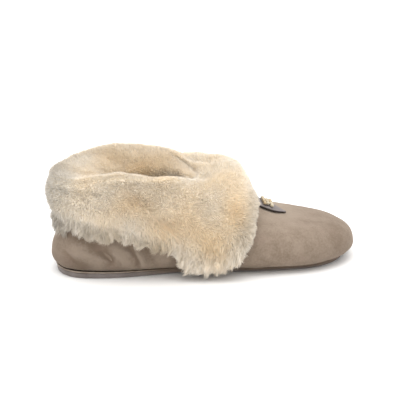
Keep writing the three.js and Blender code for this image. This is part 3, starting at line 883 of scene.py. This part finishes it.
def edgeLevel(angle):
    # the first level below the collar that lies outside the cuff's outline
    levels = 1 - np.arange(400) / 400
    point = hangPoint(angle[:, None], levels[None])
    isUnder = underCuff(point[..., 0], point[..., 2])
    isUnder[:, -1] = False
    return levels[np.argmin(isUnder, 1)]


def cuffTable(key, angle):
    # a table along the foot, read at each angle
    return smoothCurve(cuffShape["shares"], cuffShape[key], shareOf(angle))


def sinkOf(key, angle):
    # sum of the bells where the collar opens
    return sum(dip[key] * hump(angle, dip["angle"], dip["halfWidth"]) for dip in cuffShape["dips"])


def packedDepth(angle, whole, fall):
    # the fleece under the strands, which are longer at the lower edge
    reach = cuffTable("strandReach", angle) + cuffShape["longReach"] * rampUp(fall, 0.5, 0.4)
    return np.maximum(whole - reach, whole * cuffShape["leastPacked"])


def woolDepth(angle, fall):
    # full by a third of the way down, thinner again towards the edge
    fold = cuffTable("fold", angle) - sinkOf("fold", angle)
    swelling = mixed(fold, cuffTable("middle", angle), smoothStep(fall / 0.35))
    whole = mixed(swelling, cuffTable("low", angle), rampUp(fall, 0.6, 0.4))
    return packedDepth(angle, whole, fall)


def rollRise(angle):
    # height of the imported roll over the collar, between its tables by the sine of the angle, with the dips
    rise = mixed(cuffTable("rollInner", angle), cuffTable("rollOuter", angle), (1 + np.sin(angle)) / 2)
    return rise - sinkOf("roll", angle)


def softly(values, reach):
    # running mean round the loop, taken twice
    for _ in range(2):
        values = sum(np.roll(values, k) for k in range(-reach, reach + 1)) / (2 * reach + 1)
    return values


def cuffSection(angle):
    # control points of the section at each angle: up the skin, down inside and back, over the roll, down
    # the outside and round the lower edge
    shape = cuffShape
    low = edgeLevel(angle)
    softLow = softly(low, shape["softReach"])
    softFall = lambda fall: np.clip(fall * (1 - low) / (1 - softLow), 0, 1)
    up, out = lastFrame(angle, np.ones_like(angle))
    collar = lastPoint(angle, np.ones_like(angle))
    levelAt = lambda fall: mixed(1, low, fall)
    asColumn = lambda v: np.reshape(v, (-1, 1))
    fromCollar = lambda outward, upward: collar + out * asColumn(outward) + up * asColumn(upward)
    along = lambda fall, distance: (
        hangPoint(angle, levelAt(fall)) + hangOut(angle, levelAt(fall)) * asColumn(distance)
    )
    wall = last["wall"]
    skin = [
        along(fall, np.where(levelAt(fall) < last["widest"], shape["hangRoom"], -wall / 2))
        for fall in shape["falls"][::-1]
    ]
    mouth = shape["mouth"]
    mouthX, mouthZ = (mixed(*ends, shareOf(angle)) for ends in zip(mouth["heel"], mouth["front"]))
    mouthY = mouth["middle"] + mouth["skew"] * shareOf(angle) ** 2 - np.sin(angle) * mouth["halfWidth"]
    inner = np.stack([mouthX, mouthY, np.minimum(mouthZ, collar[:, 2])], -1)
    way = np.linalg.norm(inner - collar, axis=-1)
    inner = mixed(collar, inner, (packedDepth(angle, way, 0.0) / way)[:, None])
    towardsMouth = lambda share, upward: mixed(fromCollar(-share * wall, 0), inner, share) + up * upward
    reach, rise = shape["insideReach"], rollRise(angle)[:, None]
    inside = [fromCollar(-wall - shape["insideRoom"], -reach)]
    inside += [towardsMouth(share, -down * reach) for share, down in shape["insideStops"]]
    fold = woolDepth(angle, 0.0)
    dome = cuffTable("dome", angle)[:, None]
    roll = []
    for turn in shape["turns"]:
        across, lift = np.cos(np.pi * turn), np.sin(np.pi * turn) * rise
        inward = towardsMouth(-across, lift + dome * np.sin(np.pi * abs(across)))
        roll.append(inward if turn > 0.5 else fromCollar(across * fold, lift))
    outside = [along(fall, woolDepth(angle, softFall(fall))) for fall in shape["falls"]]
    edge = [along(1.0, share * woolDepth(angle, softFall(1.0))) for share in shape["edgeStops"]]
    return np.stack(skin + inside + roll + outside + edge, 1)


def roundLoop(controls, samples):
    # cubic curve through closed loops of control points; the slope at each is half the step between its
    # neighbours
    t = np.arange(samples) / samples
    p0, p1, p2, p3 = (np.roll(controls, shift, 1)[:, :, None] for shift in (1, 0, -1, -2))
    u = t[None, None, :, None]
    curve = 0.5 * (
        2 * p1 + (p2 - p0) * u + (2 * p0 - 5 * p1 + 4 * p2 - p3) * u**2 + (3 * p1 - p0 - 3 * p2 + p3) * u**3
    )
    return curve.reshape(len(controls), -1, 3)


woolTone = {
    "base": 0.25,
    "back": 0.2,  # less behind the heel
    "within": 0.4,  # more inside the collar
    "vary": 0.12,
    # warm patches on the sides: x, half width, z, half height, amount
    "patches": [
        (62, 20, 66, 9, 0.4), (106, 30, 48, 16, 0.55), (149, 12, 60, 20, 0.45), (134, 20, 28, 13, 0.5),
    ],
}


def warmthAt(points):
    # the base with bells for the patches, the heel's back and the inside
    tone = woolTone
    x, y, z = points[..., 0], points[..., 1], points[..., 2]
    side = smoothStep(np.abs(y) / 30)
    patches = sum(much * hump(x, a, wide) * hump(z, b, high) for a, wide, b, high, much in tone["patches"])
    within = hump(x, 80, 28) * hump(y, 6, 26) * rampDown(z, 98, 10)
    warmth = tone["base"] - tone["back"] * bell(x / 20) + patches * side + tone["within"] * within
    return np.clip(warmth + tone["vary"] * ripple(points, 30, 61), 0, 1)


def makeCuffBody(shape):
    # the sections joined round the foot, with lumps where wool grows. Along a section, places 0 to 5 are
    # the skin, 6 to 8 the inside, 9 to 13 the roll with its top at 11, 14 to 19 the outside, then the edge
    grid = roundLoop(cuffSection(turnOf(shape["columns"])), shape["samples"])
    normals = -gridNormals(grid)  # the section runs the other way round
    rows = grid.shape[1]
    place = np.arange(rows) / shape["samples"]  # control point that a row is at
    hairy = rampUp(place, 6.5, 1.5) * rampDown(place, 21.6, 0.8)
    grid = grid + normals * (lumpsOn(grid, shape["lumps"]) * hairy)[..., None]
    faces = gridFaces(shape["columns"], rows, True)[:, ::-1]
    piece = newPiece("cuffFleece", grid.reshape(-1, 3), faces, woolBody)
    addMask(piece, "warmth", warmthAt(grid))
    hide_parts("cuff")
    return grid, -gridNormals(grid), place


cuffGrid, cuffNormals, cuffPlace = makeCuffBody(cuffShape)
print("cuff fleece made:", cuffGrid.shape[0] * cuffGrid.shape[1], "points")


# strands of the cuff's wool

woolShape = {
    "seed": 7,
    "pile": {"clumps": 48000, "perClump": 4, "spread": 0.8, "pull": 0.12, "wander": 0.06, "stretch": 0.0},
    "tufts": {"clumps": 660, "perClump": 64, "spread": 1.7, "pull": 0.68, "wander": 0.22, "stretch": 2.4},
    "width": 0.46,
    "stops": [0.0, 0.6, 1.0],
    "taper": [1.0, 0.85],
    "floor": 0.8,
    "length": {"pile": 2.7, "outside": 0.3, "low": 4.0, "front": 2.6, "within": 0.6},
    "lean": {"pile": 0.12, "outside": 0.1, "low": 0.36},
    # painted light and shade: 1 is the palest; the pile's is kept over the least, and the painted shade on
    # the lower edge's tips may go below it
    "paintedLight": {"pile": 0.96, "upward": 0.12, "heel": 0.8, "low": 0.42, "within": 0.2, "lapel": 0.22},
    "leastPaintedLight": 0.3,
    # painted shade on the lower edge's tips towards the heel, and the warmth it adds
    "darkeningAndShade": 0.6,
    "shadeWarmth": 0.35,
    "vary": {"clump": 0.035, "strand": 0.025, "warmth": 0.07},
}
# columns of the wool's fields
wayAt, lengthAt, leanAt, tuftedAt, paintedLightAt, shadeAt = slice(0, 3), 3, 4, 5, 6, 7


def readGrid(grid, column, row):
    # straight-line reading between the points of a grid that closes both ways
    c, r = np.floor(column).astype(int), np.floor(row).astype(int)
    u, v = (column - c)[..., None], (row - r)[..., None]
    columns, rows = grid.shape[:2]
    pick = lambda i, j: grid[i % columns, j % rows]
    return mixed(mixed(pick(c, r), pick(c + 1, r), u), mixed(pick(c, r + 1), pick(c + 1, r + 1), u), v)


def woolFields(grid, normals, place):
    # how the wool lies at each point of the fleece: the way it leans, its length, its lean, how tufted it is,
    # its painted light, which is less on top, low down and at the back of the heel, and its painted edge
    # shade
    x, z = grid[..., 0], grid[..., 2]
    place = np.broadcast_to(place, x.shape)
    within = 1 - rampUp(place, 9.0, 1.6)
    outside = rampUp(place, 11.2, 4.5)
    low = rampUp(place, 17.2, 2.4)
    front = rampUp(x, 146, 14)
    lapel = low * hump(x, 108, 16)
    down = unit(np.roll(grid, -1, 1) - np.roll(grid, 1, 1))
    sweep = np.array([-1.0, 0.0, 0.0]) * (0.35 * low * (1 - front) + 0.5 * lapel)[..., None]
    lay = unit(down + sweep)
    much = woolShape["length"]
    length = much["pile"] + much["outside"] * outside + low * (much["low"] - much["front"] * front)
    length = length + much["within"] * within
    much = woolShape["lean"]
    lean = much["pile"] + much["outside"] * outside + much["low"] * low * (1 - front)
    tufted = low * (1 - 0.75 * front)
    much = woolShape["paintedLight"]
    upward = rampUp(normals[..., 2], 0.1, 0.7) * rampUp(place, 9.6, 1.4)
    # painted shade on top, at the back of the heel, low down and on the near side's lower part; painted light
    # inside the collar
    paintedLight = much["pile"] - much["upward"] * upward - much["heel"] * hump(x, -2, 16) - much["low"] * low
    paintedLight = paintedLight + much["within"] * within - much["lapel"] * outside * hump(x, 138, 30) * hump(z, 40, 22)
    # painted shade on the tips of the lower edge towards the heel
    darkeningAndShade = rampUp(place, 17.8, 1.6) * rampDown(x, 104, 14) * np.clip(0.65 + 0.5 * ripple(grid, 11, 71), 0, 1)
    paintedLight = mixed(woolShape["leastPaintedLight"], 1.0, np.clip(paintedLight, 0, 1)) - woolShape["darkeningAndShade"] * darkeningAndShade
    return np.concatenate([lay, np.stack([length, lean, tufted, paintedLight, darkeningAndShade], -1)], -1)


def growWool(rng, kind, density, fields):
    # clumps are dealt out evenly over the fleece by area times density; the strands of one lie round it in a
    # bell curve, lean the way of the lay, and are drawn together at their tips
    grid, normals = cuffGrid, cuffNormals
    columnStep = np.linalg.norm(np.roll(grid, -1, 0) - grid, axis=-1)
    rowStep = np.linalg.norm(np.roll(grid, -1, 1) - grid, axis=-1)
    weight = np.cumsum(columnStep * rowStep * density)
    deal = (np.arange(kind["clumps"]) + rng.random(kind["clumps"])) / kind["clumps"]
    cells = np.searchsorted(weight, deal * weight[-1])
    column, row = np.divmod(cells, grid.shape[1])
    centre = np.stack([column, row], -1) + rng.random((len(cells), 2))
    pitch = np.stack([columnStep.ravel()[cells], rowStep.ravel()[cells]], -1)
    offset = rng.normal(0, kind["spread"], (len(cells), kind["perClump"], 2))
    spots = centre[:, None] + offset / np.maximum(pitch, 0.3)[:, None]
    spots[..., 1] = np.clip(spots[..., 1], 6.3 * cuffShape["samples"], 21.8 * cuffShape["samples"])
    root = readGrid(grid, spots[..., 0], spots[..., 1])
    out = unit(readGrid(normals, spots[..., 0], spots[..., 1]))
    lay = readGrid(fields, spots[..., 0], spots[..., 1])
    middle = readGrid(fields, centre[:, :1], centre[:, 1:])
    fullLength = middle[..., lengthAt] + kind["stretch"] * middle[..., tuftedAt]
    clumpLength = fullLength * rng.uniform(0.8, 1.15, (len(cells), 1))
    clumpWander = rng.normal(0, kind["wander"], (len(cells), 1, 3))
    clumpOut = unit(readGrid(normals, centre[:, :1], centre[:, 1:]))
    lean = middle[..., leanAt, None]
    heading = unit(clumpOut * (1 - lean) + middle[..., wayAt] * lean + clumpWander)
    clumpRoot = readGrid(grid, centre[:, :1], centre[:, 1:])
    clumpTip = clumpRoot + heading * clumpLength[..., None]
    lean = lay[..., leanAt, None]
    wander = clumpWander + rng.normal(0, 0.13, out.shape)
    own = unit(out * (1 - lean) + lay[..., wayAt] * lean + wander)
    length = clumpLength * rng.uniform(0.8, 1.12, spots.shape[:2])
    tip = root + own * length[..., None]
    pulled = clumpTip + (root - clumpRoot) * 0.2 + own * (length - clumpLength)[..., None]
    tip = mixed(tip, pulled, kind["pull"])
    bend = root + out * (0.42 * length)[..., None]
    vary = woolShape["vary"]
    # the lock's painted light, with a random tone for each lock and each strand
    paintedLight = middle[..., paintedLightAt] + rng.normal(0, vary["clump"], (len(cells), 1))
    paintedLight = paintedLight + rng.normal(0, vary["strand"], spots.shape[:2])
    # the painted shade on the lower edge's tips is warmer
    warmth = warmthAt(root) + woolShape["shadeWarmth"] * middle[..., shadeAt]
    warmth = warmth + rng.normal(0, vary["warmth"], spots.shape[:2])
    flat = lambda a: a.reshape(-1, 3)
    return {
        "root": flat(root), "bend": flat(bend), "tip": flat(tip), "out": flat(out),
        "paintedLight": np.clip(paintedLight, 0, 1).ravel(),
        "warmth": np.clip(warmth, 0, 1).ravel(),
        "place": spots[..., 1].ravel() / cuffShape["samples"],
    }


def strandMesh(name, strands, rng):
    # a strand is a narrow blade along a parabola from root to tip, broad side mostly outwards
    count = len(strands["root"])
    t = np.array(woolShape["stops"])[None, :, None]
    root, bend, tip = (strands[key][:, None] for key in ("root", "bend", "tip"))
    line = (1 - t) ** 2 * root + 2 * t * (1 - t) * bend + t**2 * tip
    course = unit(tip - root)[:, 0]
    across = unit(np.cross(course, strands["out"]) + rng.normal(0, 0.5, (count, 3)))
    across = unit(across - course * (across * course).sum(-1, keepdims=True))
    taper = np.array(woolShape["taper"])[None, :, None]
    half = 0.5 * woolShape["width"] * taper * rng.uniform(0.7, 1.3, (count, 1, 1))
    left, right = line[:, :2] - across[:, None] * half, line[:, :2] + across[:, None] * half
    points = np.concatenate([np.stack([left, right], 2).reshape(count, 4, 3), line[:, 2:]], 1)
    points[..., 2] = np.maximum(points[..., 2], woolShape["floor"])
    blade = np.array([[0, 1, 3], [0, 3, 2], [2, 3, 4]])
    faces = (blade[None] + 5 * np.arange(count)[:, None, None]).reshape(-1, 3)
    piece = newPiece(name, points.reshape(-1, 3), faces, woolStrand)
    cell = np.floor(strands["warmth"] * 7.99) * 8 + np.floor(strands["paintedLight"] * 7.99)
    u = (cell[:, None] + np.array([0.3, 0.7, 0.3, 0.7, 0.5])) / 64
    v = np.broadcast_to(np.repeat(woolShape["stops"], [2, 2, 1]) * 0.96 + 0.02, u.shape)
    palette = np.stack([u, v], -1).reshape(-1, 2)
    layer = piece.data.uv_layers.new(name="OFBake")
    layer.data.foreach_set("uv", palette[faces.ravel()].astype(np.float32).ravel())
    return piece


def makeCuffWool():
    # fine pile all over, denser on the roll and parted at the lower edge, and longer tufts along that edge
    rng = np.random.default_rng(woolShape["seed"])
    fields = woolFields(cuffGrid, cuffNormals, cuffPlace)
    shown = (rampUp(cuffPlace, 6.4, 0.5) * rampDown(cuffPlace, 21.4, 0.3))[None]
    ridges = 0.9 * hump(cuffPlace, 11.0, 1.3) + 0.4 * hump(cuffPlace, 8.8, 1.0)
    atEdge = rampUp(cuffPlace, 18.8, 0.8)[None] + 0.1
    parted = rampUp(cuffPlace, 18.6, 1.0)[None] * rampDown(cuffGrid[..., 0], 106, 8)
    pileDensity = shown * (0.9 + ridges)[None] * (1 - 0.75 * parted)
    tuftDensity = shown * fields[..., tuftedAt] * atEdge
    groups = [growWool(rng, woolShape["pile"], pileDensity, fields)]
    groups.append(growWool(rng, woolShape["tufts"], tuftDensity, fields))
    wool = {key: np.concatenate([group[key] for group in groups]) for key in groups[0]}
    x, y = wool["root"][:, 0], wool["root"][:, 1]
    isCollar = wool["place"] < 12.0
    parts = {
        "cuffWoolCollarOuter": isCollar & (y < 0),
        "cuffWoolCollarInner": isCollar & (y >= 0),
        "cuffWoolOuterHeel": ~isCollar & (y < 0) & (x < 84),
        "cuffWoolOuterFront": ~isCollar & (y < 0) & (x >= 84),
        "cuffWoolInnerHeel": ~isCollar & (y >= 0) & (x < 84),
        "cuffWoolInnerFront": ~isCollar & (y >= 0) & (x >= 84),
    }
    for name, chosen in parts.items():
        piece = strandMesh(name, {key: values[chosen] for key, values in wool.items()}, rng)
        print(name, "made:", len(piece.data.polygons), "faces")


makeCuffWool()


# vamp tab and its beads

tabShape = {
    "thickness": 1.6,
    "seat": 0.5,
    "back": 168.0,
    "taper": 185.0,
    "tip": 200.0,
    "halfWidth": 10.5,
    "skew": -4.0,
    "stations": 44,
    "around": 28,
}
beadShape = {
    "radius": 1.7,
    "flat": 0.92,
    "centre": 182.7,
    "along": 5.4,
    "across": 7.2,
    "gap": 0.3,
    "around": 20,
    "rings": 13,
    "seed": 5,
}


def vampPlace(x, y):
    # angle and level of the vamp at places seen from above: halving on the level, then the angle from y
    angle = np.full_like(x, np.pi)
    for _ in range(8):
        low, high = np.full_like(x, last["widest"]), np.ones_like(x)
        for _ in range(22):
            level = (low + high) / 2
            isAhead = lastPoint(angle, level)[..., 0] > x
            low, high = np.where(isAhead, level, low), np.where(isAhead, high, level)
        middle = smoothCurve(*last["axis"], shareOf(angle)) * (1 - level**2)
        beside = angle - 1e-3  # on the ridge itself the sine is nothing
        spread = (middle - lastPoint(beside, level)[..., 1]) / np.sin(beside)
        angle = np.pi - np.arcsin(np.clip((middle - y) / spread, -0.99, 0.99))
    return angle, level


def vampPoint(x, y, height):
    # a point over the vamp, seen from above
    angle, level = vampPlace(x, y)
    return lastOffset(angle, level, height)


def makeTab(shape):
    # a rounded flat section carried along the vamp's ridge; it narrows to the tip and closes at both ends
    along = np.linspace(0, 1, shape["stations"])
    x = mixed(shape["back"], shape["tip"], along)
    narrowing = np.maximum(x - shape["taper"], 0) / (shape["tip"] - shape["taper"])
    half = shape["halfWidth"] * np.maximum(1 - narrowing**1.3, 0.05)
    turn = turnOf(shape["around"])
    across = signedPower(np.cos(turn), 0.45)
    rise = signedPower(np.sin(turn), 0.55)
    closed = np.minimum(1, np.minimum(along, 1 - along) / 0.012)[:, None]
    y = half[:, None] * across[None] * closed + (shape["skew"] * narrowing)[:, None]
    middle = shape["seat"] + shape["thickness"] / 2
    curl = 0.5 * np.abs(across[None]) ** 2 * (1 - narrowing[:, None])  # edges lift a little
    height = middle + rise[None] * closed * shape["thickness"] / 2 + curl
    xs = np.broadcast_to(x[:, None], y.shape)
    grid = vampPoint(xs.ravel(), y.ravel(), height.ravel()).reshape(y.shape + (3,)).transpose(1, 0, 2)
    piece = gridPiece("vampTab", grid, False, tabLeather)
    rim = np.maximum(rampUp(np.abs(across)[None], 0.86, 0.1), rampDown(rise[None], 0.1, 0.3))
    rim = np.maximum(rim, rampUp(narrowing[:, None], 0.9, 0.1))
    addMask(piece, "rim", np.broadcast_to(rim, y.shape).T)
    closeGrid(piece)
    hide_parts("vamp_tab")


def beadPlaces(shape):
    # a close-packed lattice inside an oval
    pitch = 2 * shape["radius"] + shape["gap"]
    row, step = (a.ravel() for a in np.meshgrid(np.arange(-3, 4), np.arange(-4, 5), indexing="ij"))
    along = row * pitch * np.sqrt(3) / 2
    across = (step + np.where(row % 2, 0.5, 0)) * pitch
    chosen = np.hypot(along / shape["along"], across / shape["across"]) <= 1
    return shape["centre"] + along[chosen], across[chosen]


def makeBeads(shape):
    # slightly flattened balls, all in one mesh
    x, y = beadPlaces(shape)
    seat = tabShape["seat"] + tabShape["thickness"] + shape["gap"] + shape["radius"]
    centres = vampPoint(x, y, np.full_like(x, seat))
    size = shape["around"], shape["rings"]
    turn, tilt = turnOf(size[0])[:, None], np.linspace(-np.pi / 2, np.pi / 2, size[1])[None]
    height = np.broadcast_to(shape["flat"] * np.sin(tilt), size)
    ball = np.stack([np.cos(turn) * np.cos(tilt), np.sin(turn) * np.cos(tilt), height], -1).reshape(-1, 3)
    points = centres[:, None] + ball[None] * shape["radius"]
    faces = gridFaces(*size, False)
    faces = (faces[None] + len(ball) * np.arange(len(x))[:, None, None]).reshape(-1, 4)
    piece = newPiece("beadCluster", points.reshape(-1, 3), faces, creamBead)
    tones = np.random.default_rng(shape["seed"]).uniform(0, 0.8, len(x))
    addMask(piece, "tone", np.repeat(tones, len(ball)))
    addMask(piece, "low", np.tile(rampDown(ball[:, 2], -0.35, 0.4), len(x)))
    closeGrid(piece)
    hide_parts(*[f"bead_{i + 1}" for i in range(len(x))])


makeTab(tabShape)
makeBeads(beadShape)
print("tab and beads made")


# floor, light and camera

stageLook = {
    "floor": srgb(250, 249, 248),
    "floorDim": srgb(245, 244, 242),
    "horizon": 0.46,  # light of the surroundings, level and overhead
    "zenith": 2.1,
    "key": {"place": (0.05, -0.35, 1.6), "aim": (0.09, 0.0, 0.03), "size": 1.0, "power": 6.0},
}
cameraView = {
    "azimuth": -8.0,
    "elevation": 17.5,
    "distance": 0.95,
    "target": (0.089, -0.010, 0.058),
    "lens": 102.15,
}


def makeStage(look):
    # a pale floor, surroundings that brighten with the sine of the elevation, and one broad soft light
    mesh = bpy.data.meshes.new("floor")
    mesh.from_pydata([(-4, -4, 0), (4, -4, 0), (4, 4, 0), (-4, 4, 0)], [], [(0, 1, 2, 3)])
    material, wire, place, finish = newMaterial("paleFloor", {"Roughness": 0.9, "Specular IOR Level": 0.1})
    finish("Base Color", wire.tint(wire.noise(place, 3.0), look["floor"], look["floorDim"]))
    mesh.materials.append(material)
    floor = addObject("floor", mesh)
    world = bpy.data.worlds.new("softWhite")
    world.use_nodes = True
    background = world.node_tree.nodes["Background"]
    background.inputs["Color"].default_value = (1, 1, 1, 1)
    sky = Wire(world.node_tree, background.outputs[0])
    direction = sky.node("ShaderNodeTexCoord", out="Generated")
    height = sky.node("ShaderNodeSeparateXYZ", None, {0: direction}, out="Z")
    strength = look["horizon"] + (look["zenith"] - look["horizon"]) * height.held()
    world.node_tree.links.new(strength.socket, background.inputs["Strength"])
    bpy.context.scene.world = world
    key = bpy.data.lights.new("softKey", "AREA")
    key.size = look["key"]["size"]
    key.energy = look["key"]["power"]
    aimAt(addObject("softKey", key), look["key"]["place"], look["key"]["aim"])


def aimAt(thing, place, target):
    # looks along its own -Z from a place to a target, with +Y up
    direction = Vector(target) - Vector(place)
    thing.location = place
    thing.rotation_euler = direction.to_track_quat("-Z", "Y").to_euler()


def makeCamera(view):
    # back from the target by azimuth and elevation
    turn, lift = np.radians(view["azimuth"]), np.radians(view["elevation"])
    back = np.array([np.sin(turn) * np.cos(lift), -np.cos(turn) * np.cos(lift), np.sin(lift)])
    lens = bpy.data.cameras.new("photoView")
    lens.lens = view["lens"]
    lens.sensor_width = 36.0
    camera = addObject("photoView", lens)
    aimAt(camera, tuple(np.array(view["target"]) + back * view["distance"]), view["target"])
    bpy.context.scene.camera = camera


makeStage(stageLook)
makeCamera(cameraView)
bpy.context.scene.view_settings.view_transform = "Standard"
print("stage and camera made")
